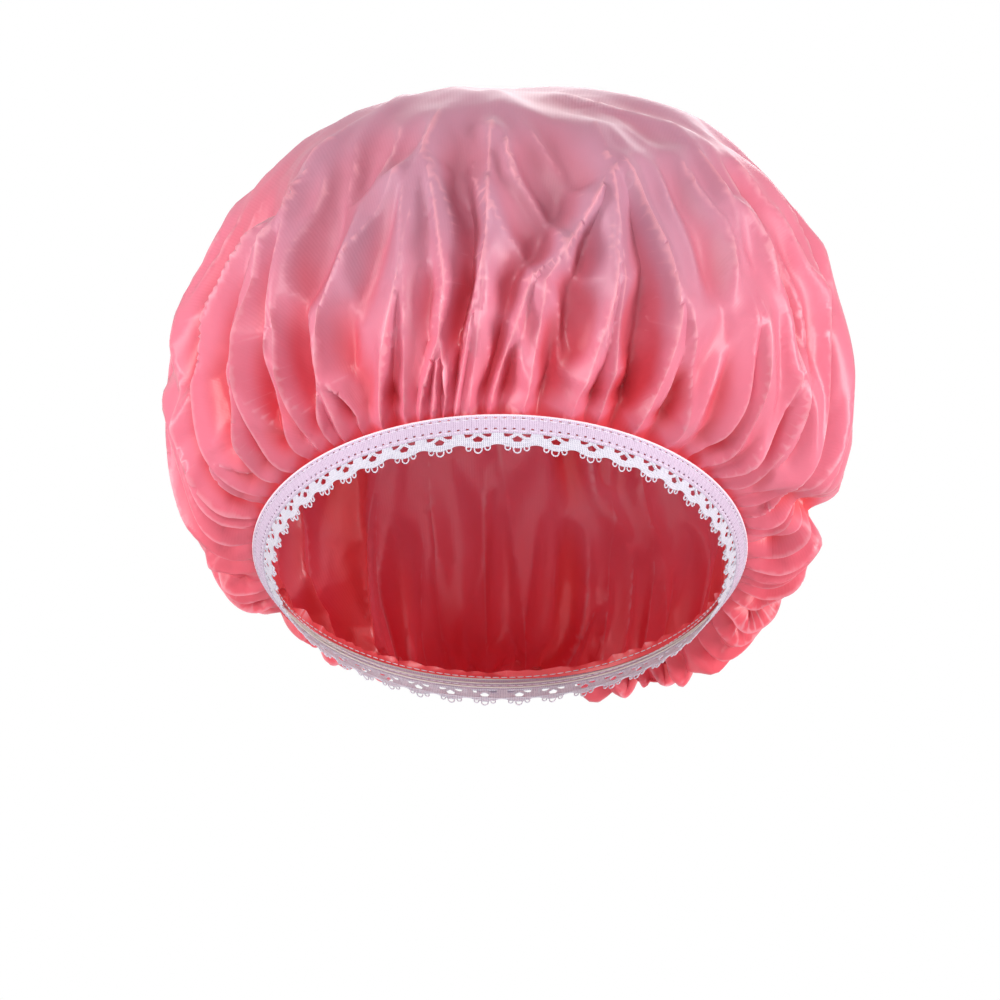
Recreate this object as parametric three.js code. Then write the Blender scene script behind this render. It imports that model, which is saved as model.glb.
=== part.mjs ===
// A gathered shower cap in its worn shape: one disc of thin film, drawn in at its edge and sewn
// behind an elastic lace trim that runs round the opening.
// +Z is up, the front is at -Y, and the origin is the centre of the opening.

import * as THREE from "three";
import { mergeGeometries } from "three/addons/utils/BufferGeometryUtils.js";

// Driving dimensions, in millimetres and degrees.

// The opening is an oval that tilts down to the back, measured at the tape's upper edge.
const openingWidth = 140;
const openingLength = 188;
const openingTilt = 24;

// How far the trim leans in from the oval's axis.
const leanAtSides = 40;
const leanAtFront = 12;
const leanAtBack = 13;

// The elastic tape, with rubber threads knitted into its inner face.
const rubberCount = 3;
const rubberSpacing = 1.7;
const rubberSize = 0.5;
const rubberClearance = 0.25;
const tapeCover = 0.45;

// Two seams hold the film's hem behind the tape.
const threadSize = 0.5;
const seamFromEdge = 0.8;
const hemPastSeam = 0.4;
const hemRise = 0.8;

// The tape's end is turned over its start at the back, under two bars of close stitches.
const lapLength = 14;
const lapThickness = 0.8;
const tackWidth = 1.2;
const tackInset = 0.7;

// The lace below the tape: three windows and three picots between solid blocks.
const lacePitch = 10.6;
const laceBlock = 4;
const laceDepth = 4.4;
const laceBar = 0.7;
const laceThickness = 0.8;
const picotMiddle = 2.4;
const picotSide = 1.6;
const picotNotch = 0.8;

// The film, puffed out over the opening: its run-out from the tape, then its shoulder, then its top.
const filmThickness = 0.5;
const puffOutSides = 51;
const puffOutFront = 17;
const puffOutBack = 44;
const puffUpSides = -6;
const puffUpFront = 20;
const puffUpBack = -25;
const shoulderOutSides = 99;
const shoulderOutFront = 93;
const shoulderOutBack = 128;
const shoulderUpSides = 6;
const shoulderUpFront = 3;
const shoulderUpBack = 6;
const crownHeight = 132;
const crownForward = 5;
const crownLean = 3;
const rightSag = 24;
const foldDepth = 7;

// The ridges of the main folds, as shares of the way round from the back: at the front one by one, right to left.
const frontFolds = [
  0.29, 0.315, 0.345, 0.38, 0.415, 0.4525, 0.486, 0.511, 0.5345, 0.56, 0.589, 0.617, 0.643, 0.69,
];
const backFolds = 18;

// Pieces that lie on each other are this far apart.
const seat = 0.3;

// Fineness of the meshes.
const stripSteps = 48;
const lapSteps = 4;
const crownStops = [0.1, 0.21, 0.34, 0.5, 0.66, 0.8, 0.89];

const tapeWidth = rubberCount * rubberSpacing;
const tapeThickness = rubberClearance + rubberSize + tapeCover;
const hemDepth = tapeWidth - seamFromEdge + hemPastSeam;
const tilt = THREE.MathUtils.degToRad(openingTilt);
const planeUp = new THREE.Vector3(0, Math.sin(tilt), Math.cos(tilt));
const planeBack = new THREE.Vector3(0, Math.cos(tilt), -Math.sin(tilt));
const right = new THREE.Vector3(1, 0, 0);
const up = new THREE.Vector3(0, 0, 1);

// The oval runs clockwise from above, from the back past the right side to the front.
const opening = new THREE.EllipseCurve(
  0, 0, openingWidth / 2, openingLength / 2, Math.PI / 2, Math.PI / 2 - 2 * Math.PI, true,
);
opening.arcLengthDivisions = 720;
const openingRound = opening.getLength();

const finish = (color, roughness) => new THREE.MeshStandardMaterial({ color, roughness, metalness: 0 });
const finishes = {
  film: finish(0xf0728e, 0.32),
  tape: finish(0xece2ee, 0.85),
  lace: finish(0xf3f2fa, 0.8),
  rubber: finish(0xf4eee2, 0.6),
  thread: finish(0xf7f4f6, 0.7),
};

// Where a share of the way round the opening lies, in the oval's own plane and in space.
function openingAt(share) {
  const wrapped = share - Math.floor(share);
  const flat = opening.getPointAt(wrapped);
  const ahead = opening.getTangentAt(wrapped);
  return {
    across: flat.x / (openingWidth / 2),
    back: flat.y / (openingLength / 2),
    point: right.clone().multiplyScalar(flat.x).addScaledVector(planeBack, flat.y),
    inward: right.clone().multiplyScalar(ahead.y).addScaledVector(planeBack, -ahead.x),
  };
}

// A size that changes smoothly round the opening, from the sides to the front and the back.
function roundTheOpening(place, sides, front, back) {
  return THREE.MathUtils.lerp(sides, place.back < 0 ? front : back, place.back ** 2);
}

// A point on the trim: so far down from the oval along the tape's slope, and so far out from it.
function trimPoint(share, down, out) {
  const place = openingAt(share);
  const lean = THREE.MathUtils.degToRad(roundTheOpening(place, leanAtSides, leanAtFront, leanAtBack));
  const downward = place.inward.clone().multiplyScalar(Math.sin(lean));
  downward.addScaledVector(planeUp, -Math.cos(lean));
  const outward = place.inward.clone().multiplyScalar(-Math.cos(lean));
  outward.addScaledVector(planeUp, -Math.sin(lean));
  return place.point.addScaledVector(downward, down).addScaledVector(outward, out);
}

// Moves every point of a geometry to where a function puts it.
function reshape(geometry, place) {
  const position = geometry.getAttribute("position");
  const point = new THREE.Vector3();
  for (let i = 0; i < position.count; i++) {
    const { x, y, z } = place(point.fromBufferAttribute(position, i));
    position.setXYZ(i, x, y, z);
  }
  return geometry;
}

// A strip with the section (down, out) that follows the trim from one place along it to another.
function trimStrip(section, from, to, steps) {
  const shape = new THREE.Shape(section.map(([down, out]) => new THREE.Vector2(down, out)));
  const straight = new THREE.ExtrudeGeometry(shape, { depth: to - from, steps, bevelEnabled: false });
  return reshape(straight, ({ x, y, z }) => trimPoint((from + z) / openingRound, x, y));
}

const oblong = (down, out, width, height) => [
  [down, out], [down + width, out], [down + width, out + height], [down, out + height],
];

const tapeFace = tapeThickness / 2;
const rubberGroove = rubberSize + 2 * rubberClearance;
const rubberCentre = (index) => (index + 0.5) * rubberSpacing;

// The tape's section, with a groove in the inner face for each rubber thread.
function tapeSection() {
  const points = [[0, tapeFace], [0, -tapeFace]];
  for (let i = 0; i < rubberCount; i++) {
    const left = rubberCentre(i) - rubberGroove / 2;
    const floor = -tapeFace + rubberClearance + rubberSize;
    points.push([left, -tapeFace], [left, floor]);
    points.push([left + rubberGroove, floor], [left + rubberGroove, -tapeFace]);
  }
  points.push([tapeWidth, -tapeFace], [tapeWidth, tapeFace]);
  return points;
}

function elasticTape() {
  return trimStrip(tapeSection(), seat / 2, openingRound - seat / 2, stripSteps);
}

function rubberThread(index) {
  const down = rubberCentre(index) - rubberSize / 2;
  const section = oblong(down, -tapeFace, rubberSize, rubberSize);
  return trimStrip(section, seat / 2, openingRound - seat / 2, stripSteps);
}

// A seam thread beside the tape's outer face or the hem's inner face, stopping short of the lap.
function seamThread(down, out) {
  const section = oblong(down, out, threadSize, threadSize);
  const clear = lapLength / 2 + seat;
  return trimStrip(section, clear, openingRound - clear, stripSteps);
}

const needleSide = tapeFace + seat;
const hemOuter = -tapeFace - seat;
const bobbinSide = hemOuter - filmThickness - seat - threadSize;
const lapSide = tapeFace + seat;
const tackSide = lapSide + lapThickness + seat;

// The tape's end, turned over its start.
function tapeLap() {
  const section = oblong(0, lapSide, tapeWidth, lapThickness);
  return trimStrip(section, -lapLength / 2, lapLength / 2, lapSteps);
}

// A bar of close stitches across the lap, near one of its ends.
function barTack(side) {
  const middle = side * (lapLength / 2 - tackInset - tackWidth / 2);
  const section = oblong(tackInset, tackSide, tapeWidth - 2 * tackInset, threadSize);
  return trimStrip(section, middle - tackWidth / 2, middle + tackWidth / 2, 1);
}

// One repeat of the lace, as long as its pitch: x runs along the trim and y down from the tape.
function laceRepeat(pitch) {
  const middle = pitch / 2;
  const group = pitch - laceBlock;
  const edge = laceBlock / 2;
  const bar = laceBar / 2;
  const windowFoot = laceDepth - laceBar;

  const cell = new THREE.Shape();
  cell.moveTo(0, laceDepth).lineTo(0, 0).lineTo(pitch, 0).lineTo(pitch, laceDepth);
  const picots = [0, picotSide, picotNotch, picotMiddle, picotNotch, picotSide, 0];
  picots.forEach((depth, i) => {
    cell.lineTo(pitch - edge - (group * i) / (picots.length - 1), laceDepth + depth);
  });

  const hole = (...points) => new THREE.Path(points.map(([x, y]) => new THREE.Vector2(x, y)));
  for (const side of [-1, 1]) {
    const outer = middle + (side * group) / 2;
    const inner = middle + side * laceBar;
    cell.holes.push(hole([outer, laceBar], [inner, laceBar + bar], [outer, windowFoot - bar]));
  }
  const crossing = (laceBar + windowFoot) / 2;
  const foot = group / 2 - laceBar - bar;
  cell.holes.push(hole([middle, crossing], [middle + foot, windowFoot], [middle - foot, windowFoot]));
  return cell;
}

// The lace strip: repeats laid end to end, without the walls between them.
function laceEdging() {
  const length = openingRound - seat;
  const repeats = Math.round(length / lacePitch);
  const pitch = Math.fround(length / repeats);
  const thick = { depth: laceThickness, bevelEnabled: false };
  const extruded = new THREE.ExtrudeGeometry(laceRepeat(pitch), thick);
  const cell = new THREE.BufferGeometry().setAttribute("position", extruded.getAttribute("position"));
  const top = tapeWidth + seat;
  const cells = [];
  for (let i = 0; i < repeats; i++) {
    const shared = [];
    if (i > 0) shared.push(0);
    if (i < repeats - 1) shared.push(pitch);
    cells.push(reshape(withoutWalls(cell, shared), ({ x, y, z }) => {
      const along = seat / 2 + (i + x / pitch) * pitch;
      return trimPoint(along / openingRound, top + y, z - laceThickness / 2);
    }));
  }
  return mergeGeometries(cells);
}

// A copy of a geometry without the triangles that lie in a plane at one of the given x values.
function withoutWalls(geometry, planes) {
  const from = geometry.getAttribute("position").array;
  const kept = [];
  for (let i = 0; i < from.length; i += 9) {
    const lies = planes.some((x) => [0, 3, 6].every((k) => Math.abs(from[i + k] - x) < seat / 100));
    if (!lies) kept.push(...from.slice(i, i + 9));
  }
  return new THREE.BufferGeometry().setAttribute("position", new THREE.Float32BufferAttribute(kept, 3));
}

const crownTop = new THREE.Vector3(crownLean, -crownForward, crownHeight);

// The film's smooth shape above the hem: a curve from the tape's upper edge out, up and over to the top.
function smoothFilm(share, rise) {
  const place = openingAt(share);
  const outward = new THREE.Vector3(place.across, place.back, 0).normalize();
  const sag = 2 * rightSag * Math.max(0, place.back) * Math.max(0, place.across);
  const puffOut = roundTheOpening(place, puffOutSides, puffOutFront, puffOutBack);
  const puffUp = roundTheOpening(place, puffUpSides, puffUpFront, puffUpBack) - sag;
  const shoulderOut = roundTheOpening(place, shoulderOutSides, shoulderOutFront, shoulderOutBack);
  const shoulderUp = roundTheOpening(place, shoulderUpSides, shoulderUpFront, shoulderUpBack);

  const start = trimPoint(share, -hemRise, hemOuter);
  const puff = start.clone().addScaledVector(outward, puffOut).addScaledVector(up, puffUp);
  puff.addScaledVector(right, crownLean);
  const shoulder = crownTop.clone().addScaledVector(outward, shoulderOut).addScaledVector(up, shoulderUp);
  return new THREE.CubicBezierCurve3(start, puff, shoulder, crownTop).getPoint(rise);
}

// The outward direction of the smooth film.
function filmOutward(share, rise) {
  const step = 1e-3;
  const along = smoothFilm(share + step, rise).sub(smoothFilm(share - step, rise));
  const upward = smoothFilm(share, rise + step).sub(smoothFilm(share, rise - step));
  return upward.cross(along).normalize();
}

// The main folds' ridges once round, from the front's first one: the back ones are spread unevenly between the rest.
const firstFold = frontFolds[0];
const lastFold = frontFolds[frontFolds.length - 1];
const backFold = (_, i) => (i + 1 + 0.25 * Math.sin(2.4 * (i + 1))) / (backFolds + 1);
const foldRidges = [
  ...frontFolds,
  ...Array.from({ length: backFolds }, backFold).map((part) => lastFold + part * (1 + firstFold - lastFold)),
];

// The film's columns are the folds' ridges and the valleys half way between them.
function columnShare(column) {
  const fold = Math.floor(column / 2);
  const ridge = foldRidges[fold];
  const next = fold + 1 < foldRidges.length ? foldRidges[fold + 1] : 1 + firstFold;
  return column % 2 === 0 ? ridge : (ridge + next) / 2;
}

// The main folds: valleys that are deepest where the folds are wide, and die out towards the top and the hem.
function foldOffset(column, rise) {
  if (column % 2 === 0) return 0;
  const width = 2 * (columnShare(column) - columnShare(column - 1)) * foldRidges.length;
  const gathered = Math.min(1, rise / crownStops[1]) ** 0.6 * (1 - rise) ** 1.2;
  return -foldDepth * THREE.MathUtils.clamp(width, 0.5, 1.4) * gathered;
}

// The film as one closed shell: the hem behind the tape, then the gathered crown up to its top.
function capFilm() {
  const columns = 2 * foldRidges.length;
  const rows = crownStops.length + 2;
  const faces = { outer: [], inner: [] };
  for (let column = 0; column < columns; column++) {
    const share = columnShare(column);
    for (const down of [hemDepth, -hemRise]) {
      faces.outer.push(trimPoint(share, down, hemOuter));
      faces.inner.push(trimPoint(share, down, hemOuter - filmThickness));
    }
    for (const rise of crownStops) {
      const outward = filmOutward(share, rise);
      const outer = smoothFilm(share, rise).addScaledVector(outward, foldOffset(column, rise));
      faces.outer.push(outer);
      faces.inner.push(outer.clone().addScaledVector(outward, -filmThickness));
    }
  }
  faces.outer.push(crownTop);
  faces.inner.push(crownTop.clone().addScaledVector(up, -filmThickness));

  const innerStart = columns * rows + 1;
  const outerAt = (row, column) => (column % columns) * rows + row;
  const outerTop = columns * rows;
  const index = [];
  const bothFaces = (a, b, c) => index.push(a, b, c, innerStart + a, innerStart + c, innerStart + b);
  for (let column = 0; column < columns; column++) {
    for (let row = 0; row < rows - 1; row++) {
      const [a, b] = [outerAt(row, column), outerAt(row, column + 1)];
      bothFaces(a, a + 1, b);
      bothFaces(b, a + 1, b + 1);
    }
    bothFaces(outerAt(rows - 1, column), outerTop, outerAt(rows - 1, column + 1));
    const [hem, nextHem] = [outerAt(0, column), outerAt(0, column + 1)];
    index.push(hem, nextHem, innerStart + hem, nextHem, innerStart + nextHem, innerStart + hem);
  }
  const film = new THREE.BufferGeometry().setFromPoints([...faces.outer, ...faces.inner]);
  film.setIndex(index);
  return film;
}

// The assembly: every piece is one named mesh.
const cap = new THREE.Group();
const add = (name, geometry, material) => {
  const piece = new THREE.Mesh(geometry, material);
  piece.name = name;
  cap.add(piece);
};

add("cap_film", capFilm(), finishes.film);
add("elastic_tape", elasticTape(), finishes.tape);
for (let i = 0; i < rubberCount; i++) add(`rubber_thread_${i + 1}`, rubberThread(i), finishes.rubber);
add("lace_edging", laceEdging(), finishes.lace);
const seams = { upper: seamFromEdge, lower: tapeWidth - seamFromEdge - threadSize };
for (const [seam, down] of Object.entries(seams)) {
  add(`${seam}_needle_thread`, seamThread(down, needleSide), finishes.thread);
  add(`${seam}_bobbin_thread`, seamThread(down, bobbinSide), finishes.thread);
}
add("tape_lap", tapeLap(), finishes.tape);
add("lap_tack_left", barTack(-1), finishes.thread);
add("lap_tack_right", barTack(1), finishes.thread);

export default cap;
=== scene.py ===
"""Dresses the gathered shower cap: its film, its elastic lace trim and the seams between them."""
import logging
import math
from dataclasses import dataclass
from enum import Enum

import bpy
import numpy as np
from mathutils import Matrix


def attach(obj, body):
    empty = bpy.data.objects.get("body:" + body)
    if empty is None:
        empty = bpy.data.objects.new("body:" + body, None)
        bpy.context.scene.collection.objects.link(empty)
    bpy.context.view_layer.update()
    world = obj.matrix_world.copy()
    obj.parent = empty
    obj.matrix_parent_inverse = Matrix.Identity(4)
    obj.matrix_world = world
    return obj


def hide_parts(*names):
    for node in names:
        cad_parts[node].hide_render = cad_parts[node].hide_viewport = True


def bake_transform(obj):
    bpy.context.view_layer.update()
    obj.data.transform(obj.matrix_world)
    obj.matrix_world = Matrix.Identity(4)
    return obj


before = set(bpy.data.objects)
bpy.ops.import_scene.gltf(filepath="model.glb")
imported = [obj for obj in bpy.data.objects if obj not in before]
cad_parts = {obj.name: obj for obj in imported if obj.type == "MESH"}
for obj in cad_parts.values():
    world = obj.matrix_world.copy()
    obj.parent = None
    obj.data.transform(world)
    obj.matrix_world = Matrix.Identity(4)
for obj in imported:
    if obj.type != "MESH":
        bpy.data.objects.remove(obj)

log = logging.getLogger("shower_cap")

Colour = tuple[float, float, float, float]
Point = tuple[float, float, float]
RoundSizes = tuple[float, float, float]
Pair = tuple[float, float]
Piece = bpy.types.Object
Array = np.ndarray

# Values that several pieces share, in metres where they are lengths.
MERGE_WITHIN = 2e-6
TAPE_MIDDLE = 0.0024
TRIM_CREASE = math.radians(50)
TO_MILLIMETRES = 1000
FLAT_BEVEL = 0.3

# How heavy, stiff and damped the film is as cloth.
FILM_CLOTH = {
    "quality": 6, "mass": 0.08, "air_damping": 3.0,
    "tension_stiffness": 30, "compression_stiffness": 30, "shear_stiffness": 10, "bending_stiffness": 2.0,
    "tension_damping": 8, "compression_damping": 8, "shear_damping": 5, "bending_damping": 0.5,
}


def smooth_step(low: float, high: float, value: Array) -> Array:
    """Returns 0 below low, 1 above high and a smooth rise between."""
    t = np.clip((value - low) / (high - low), 0, 1)
    return t * t * (3 - 2 * t)


def unit(vectors: Array) -> Array:
    """Returns vectors of length 1, one row each."""
    return vectors / np.maximum(np.linalg.norm(vectors, axis=1), 1e-12)[:, None]


def add_object(name: str, data: bpy.types.ID) -> Piece:
    """Adds an object to the scene.

    Args:
        name: The object's name.
        data: Its mesh, curve, lamp or lens.

    Returns:
        The object.
    """
    made = bpy.data.objects.new(name, data)
    bpy.context.scene.collection.objects.link(made)
    return made


def make_active(piece: Piece) -> None:
    """Selects one object alone and makes it active.

    Args:
        piece: The object.
    """
    bpy.ops.object.select_all(action="DESELECT")
    piece.select_set(True)
    bpy.context.view_layer.objects.active = piece


def coordinates(piece: Piece) -> Array:
    """Reads a mesh object's points.

    Args:
        piece: The mesh object.

    Returns:
        The points, one row each.
    """
    flat = np.empty(len(piece.data.vertices) * 3)
    piece.data.vertices.foreach_get("co", flat)
    return flat.reshape(-1, 3)


def place_points(piece: Piece, points: Array) -> None:
    """Moves a mesh object's points.

    Args:
        piece: The mesh object.
        points: The new points, one row each.
    """
    piece.data.vertices.foreach_set("co", np.ascontiguousarray(points, float).ravel())
    piece.data.update()


def add_map(piece: Piece, name: str, points: Array) -> None:
    """Gives a mesh a UV map that holds one place for each of its points.

    Args:
        piece: The mesh object.
        name: The map's name.
        points: Two numbers for each point.
    """
    corners = np.empty(len(piece.data.loops), int)
    piece.data.loops.foreach_get("vertex_index", corners)
    layer = piece.data.uv_layers.new(name=name)
    layer.data.foreach_set("uv", points[corners].astype(np.float32).ravel())


def apply_modifier(piece: Piece, modifier: bpy.types.Modifier) -> None:
    """Applies one modifier of a piece."""
    make_active(piece)
    bpy.ops.object.modifier_apply(modifier=modifier.name)


def thicken(piece: Piece, thickness: float, offset: float) -> None:
    """Gives a sheet its thickness.

    Args:
        piece: The mesh object.
        thickness: How thick it becomes, in metres.
        offset: From -1, all of it behind the sheet, to 1, all of it before.
    """
    solid = piece.modifiers.new("thickness", "SOLIDIFY")
    solid.thickness = thickness
    solid.offset = offset
    apply_modifier(piece, solid)


def repeat(piece: Piece, count: int, step: Point, joined: bool) -> None:
    """Repeats a piece in a row.

    Args:
        piece: One repeat.
        count: How many repeats there are.
        step: From one repeat to the next, in metres.
        joined: Whether neighbours grow together where they meet.
    """
    array = piece.modifiers.new("repeat", "ARRAY")
    array.count = count
    array.use_relative_offset = False
    array.use_constant_offset = True
    array.constant_offset_displace = step
    array.use_merge_vertices = joined
    array.merge_threshold = MERGE_WITHIN
    apply_modifier(piece, array)


def merge_doubles(piece: Piece) -> None:
    """Joins the points of a piece that coincide.

    Args:
        piece: The mesh object.
    """
    make_active(piece)
    bpy.ops.object.mode_set(mode="EDIT")
    bpy.ops.mesh.select_all(action="SELECT")
    bpy.ops.mesh.remove_doubles(threshold=MERGE_WITHIN)
    bpy.ops.object.mode_set(mode="OBJECT")


def remove_faces(piece: Piece, chosen: list[int]) -> None:
    """Deletes some of a mesh object's faces.

    Args:
        piece: The mesh object.
        chosen: The faces' numbers.
    """
    make_active(piece)
    bpy.ops.object.mode_set(mode="EDIT")
    bpy.ops.mesh.select_mode(type="FACE")
    bpy.ops.mesh.select_all(action="DESELECT")
    bpy.ops.object.mode_set(mode="OBJECT")
    for number in chosen:
        piece.data.polygons[number].select = True
    bpy.ops.object.mode_set(mode="EDIT")
    bpy.ops.mesh.delete(type="FACE")
    bpy.ops.object.mode_set(mode="OBJECT")


def stretches(piece: Piece) -> None:
    """Bakes a piece's placement into its points."""
    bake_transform(piece)


def flat_curve(name: str, thickness: float, flat: bool) -> Piece:
    """Starts a curve object.

    Args:
        name: The object's name.
        thickness: Across a yarn, or through a flat shape, in metres.
        flat: Whether it is a filled flat shape and not yarns.

    Returns:
        The curve, with no splines yet.
    """
    curve = bpy.data.curves.new(name, "CURVE")
    curve.dimensions = "2D" if flat else "3D"
    curve.fill_mode = "BOTH" if flat else "FULL"
    curve.bevel_depth = thickness * (FLAT_BEVEL if flat else 0.5)
    curve.extrude = thickness * (0.5 - FLAT_BEVEL) if flat else 0.0
    curve.bevel_resolution = 1
    return add_object(name, curve)


def add_spline(curve: Piece, points: list[Point], closed: bool, rounded: bool) -> None:
    """Adds a line to a curve.

    Args:
        curve: The curve object.
        points: The points in millimetres.
        closed: Whether it ends where it starts.
        rounded: Whether it runs smoothly past its points.
    """
    spline = curve.data.splines.new("NURBS" if rounded else "POLY")
    spline.points.add(len(points) - 1)
    for point, place in zip(spline.points, points):
        point.co = (*(number / TO_MILLIMETRES for number in place), 1)
    spline.use_cyclic_u = closed
    if rounded:
        spline.order_u = 3
        spline.use_endpoint_u = not closed
        spline.resolution_u = 3


class Value:
    """A shader socket that does maths: an expression on values adds its Math nodes."""

    def __init__(self, graph: "Graph", socket: bpy.types.NodeSocket) -> None:
        """Wraps a socket of a graph's node."""
        self.graph = graph
        self.socket = socket

    def __add__(self, other: "Value | float") -> "Value":
        """Adds."""
        return self.graph.calculate("ADD", self, other)

    __radd__ = __add__

    def __sub__(self, other: "Value | float") -> "Value":
        """Subtracts."""
        return self.graph.calculate("SUBTRACT", self, other)

    def __rsub__(self, other: float) -> "Value":
        """Subtracts from a number."""
        return self.graph.calculate("SUBTRACT", other, self)

    def __mul__(self, other: "Value | float") -> "Value":
        """Multiplies."""
        return self.graph.calculate("MULTIPLY", self, other)

    __rmul__ = __mul__


class Surface(Enum):
    """What a graph's nodes shade, with the type of its output node."""

    MATERIAL = "ShaderNodeOutputMaterial"
    WORLD = "ShaderNodeOutputWorld"


class Graph:
    """The nodes of one material or of the world."""

    def __init__(self, name: str, surface: Surface = Surface.MATERIAL) -> None:
        """Starts an empty material or world.

        Args:
            name: Its name.
            surface: Which of the two it is.
        """
        self.surface = surface
        made = bpy.data.worlds if surface is Surface.WORLD else bpy.data.materials
        self.owner = made.new(name)
        self.owner.use_nodes = True
        self.tree = self.owner.node_tree
        self.tree.nodes.clear()

    def node(self, kind: str, settings: dict | None = None, sockets: dict | None = None) -> bpy.types.Node:
        """Adds a node.

        Args:
            kind: The node's type.
            settings: The node's own settings, set first; "stops" are a ramp's places and colours.
            sockets: Values or numbers for the node's inputs, by name or number.

        Returns:
            The node.
        """
        made = self.tree.nodes.new(kind)
        for key, setting in (settings or {}).items():
            if key == "stops":
                ramp = made.color_ramp
                while len(ramp.elements) < len(setting):
                    ramp.elements.new(0.5)
                for element, (position, colour) in zip(ramp.elements, setting):
                    element.position, element.color = position, colour
            else:
                setattr(made, key, setting)
        for key, given in (sockets or {}).items():
            if isinstance(given, Value):
                self.tree.links.new(given.socket, made.inputs[key])
            else:
                made.inputs[key].default_value = given
        return made

    def value(
        self, kind: str, settings: dict | None = None, sockets: dict | None = None, output: int | str = 0,
    ) -> Value:
        """Adds a node and returns one of its outputs."""
        return Value(self, self.node(kind, settings, sockets).outputs[output])

    def calculate(self, operation: str, *given: "Value | float") -> Value:
        """Adds a Math node and returns its result."""
        return self.value("ShaderNodeMath", {"operation": operation}, dict(enumerate(given)))

    def ramp(self, low: float, high: float, given: Value) -> Value:
        """Returns 0 below low, 1 above high and a smooth rise between."""
        sockets = {"Value": given, "From Min": low, "From Max": high}
        return self.value("ShaderNodeMapRange", {"interpolation_type": "SMOOTHSTEP"}, sockets)

    def blend(self, share: Value, first: "Value | Colour", second: "Value | Colour") -> Value:
        """Mixes two colours."""
        return self.value("ShaderNodeMix", {"data_type": "RGBA"}, {0: share, 6: first, 7: second}, 2)

    def place(self) -> tuple[Value, Value, Value, Value]:
        """Returns the Object coordinates as a vector and as three numbers."""
        vector = self.value("ShaderNodeTexCoord", output="Object")
        return vector, *self.split(vector)

    def split(self, vector: Value) -> tuple[Value, ...]:
        """Returns a vector's three numbers."""
        parts = self.node("ShaderNodeSeparateXYZ", sockets={0: vector})
        return tuple(Value(self, parts.outputs[i]) for i in range(3))

    def map(self, name: str) -> tuple[Value, ...]:
        """Returns the place on a UV map as three numbers."""
        return self.split(self.value("ShaderNodeUVMap", {"uv_map": name}))

    def noise(self, vector: Value, scale: float, detail: float = 3.0) -> Value:
        """Returns a cloudy pattern, about 0.5 on average."""
        return self.value("ShaderNodeTexNoise", sockets={"Vector": vector, "Scale": scale, "Detail": detail})

    def bump(self, height: Value, strength: float, distance: float) -> Value:
        """Returns the normal of a surface with small heights."""
        sockets = {"Height": height, "Strength": strength, "Distance": distance}
        return self.value("ShaderNodeBump", None, sockets)

    def seen(self) -> Value:
        """Tells what is seen straight, mirrored or through the film from what only lights.

        Returns:
            1 for what is seen, and 0 for the rest.
        """
        path = self.node("ShaderNodeLightPath")
        camera, glossy, through = (
            Value(self, path.outputs[f"Is {kind} Ray"]) for kind in ("Camera", "Glossy", "Transmission")
        )
        return camera + glossy + through

    def mix(self, share: "Value | float", first: bpy.types.Node, second: bpy.types.Node) -> bpy.types.Node:
        """Mixes two shaders and returns the node."""
        shaders = {i: Value(self, shader.outputs[0]) for i, shader in ((1, first), (2, second))}
        return self.node("ShaderNodeMixShader", None, {0: share, **shaders})

    def finish(self, shader: bpy.types.Node) -> bpy.types.ID:
        """Sends a shader to the output and returns the material or the world."""
        self.node(self.surface.value, sockets={"Surface": Value(self, shader.outputs[0])})
        return self.owner


@dataclass(frozen=True)
class OpeningFrames:
    """Places round the opening, one row each.

    Attributes:
        across: Share of the half width, positive to the right.
        back: Share of the half length, positive to the back.
        point: Points on the oval.
        inward: Unit vectors to the oval's inside, in its plane.
    """

    across: Array
    back: Array
    point: Array
    inward: Array


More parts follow.
